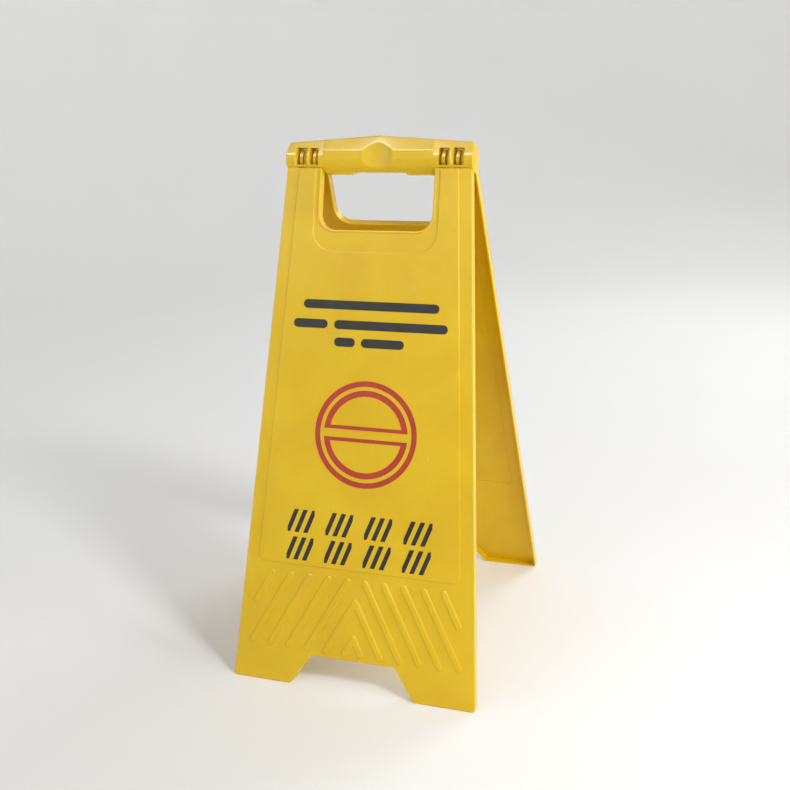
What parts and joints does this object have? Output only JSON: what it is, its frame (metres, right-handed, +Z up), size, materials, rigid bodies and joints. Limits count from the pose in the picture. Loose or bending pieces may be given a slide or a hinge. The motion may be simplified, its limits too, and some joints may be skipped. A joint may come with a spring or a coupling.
{
  "type": "a frame barricade",
  "caption": "Folding A-frame floor barricade: tapered moulded tray panels with printed warning symbol, hinged under a gabled carrying handle.",
  "frame": {"origin": "centre of the open sign's footprint, on the floor", "axes": "+X across the sign, parallel to the hinge axis; -Y out of the front panel, +Y out of the rear panel; +Z up, longest extent"},
  "size_m": [0.292, 0.3588, 0.6026],
  "materials": {
    "yellow_plastic": "glossy moulded polypropylene, warning yellow",
    "pin_plastic": "satin extruded plastic rod, yellow",
    "red_ink": "screen-printed red ink, satin",
    "black_ink": "screen-printed black ink, satin"
  },
  "bodies": {
    "handle": {"handle_front_shell": "yellow_plastic", "handle_rear_shell": "yellow_plastic", "hinge_pin_left": "pin_plastic", "hinge_pin_right": "pin_plastic"},
    "front_leg": {"front_panel": "yellow_plastic", "front_symbol_print": "red_ink", "front_word_print": "black_ink", "front_tile_print": "black_ink"},
    "rear_leg": {"rear_panel": "yellow_plastic", "rear_symbol_print": "red_ink", "rear_word_print": "black_ink", "rear_tile_print": "black_ink"}
  },
  "joints": [
    {"name": "front_fold", "type": "hinge", "parent": "handle", "child": "front_leg", "pos_m": [0, 0, 0.5762], "axis": [1, 0, 0], "range_deg": [0, 16.3]},
    {"name": "rear_fold", "type": "hinge", "parent": "handle", "child": "rear_leg", "pos_m": [0, 0, 0.5762], "axis": [-1, 0, 0], "range_deg": [0, 16.3]}
  ]
}
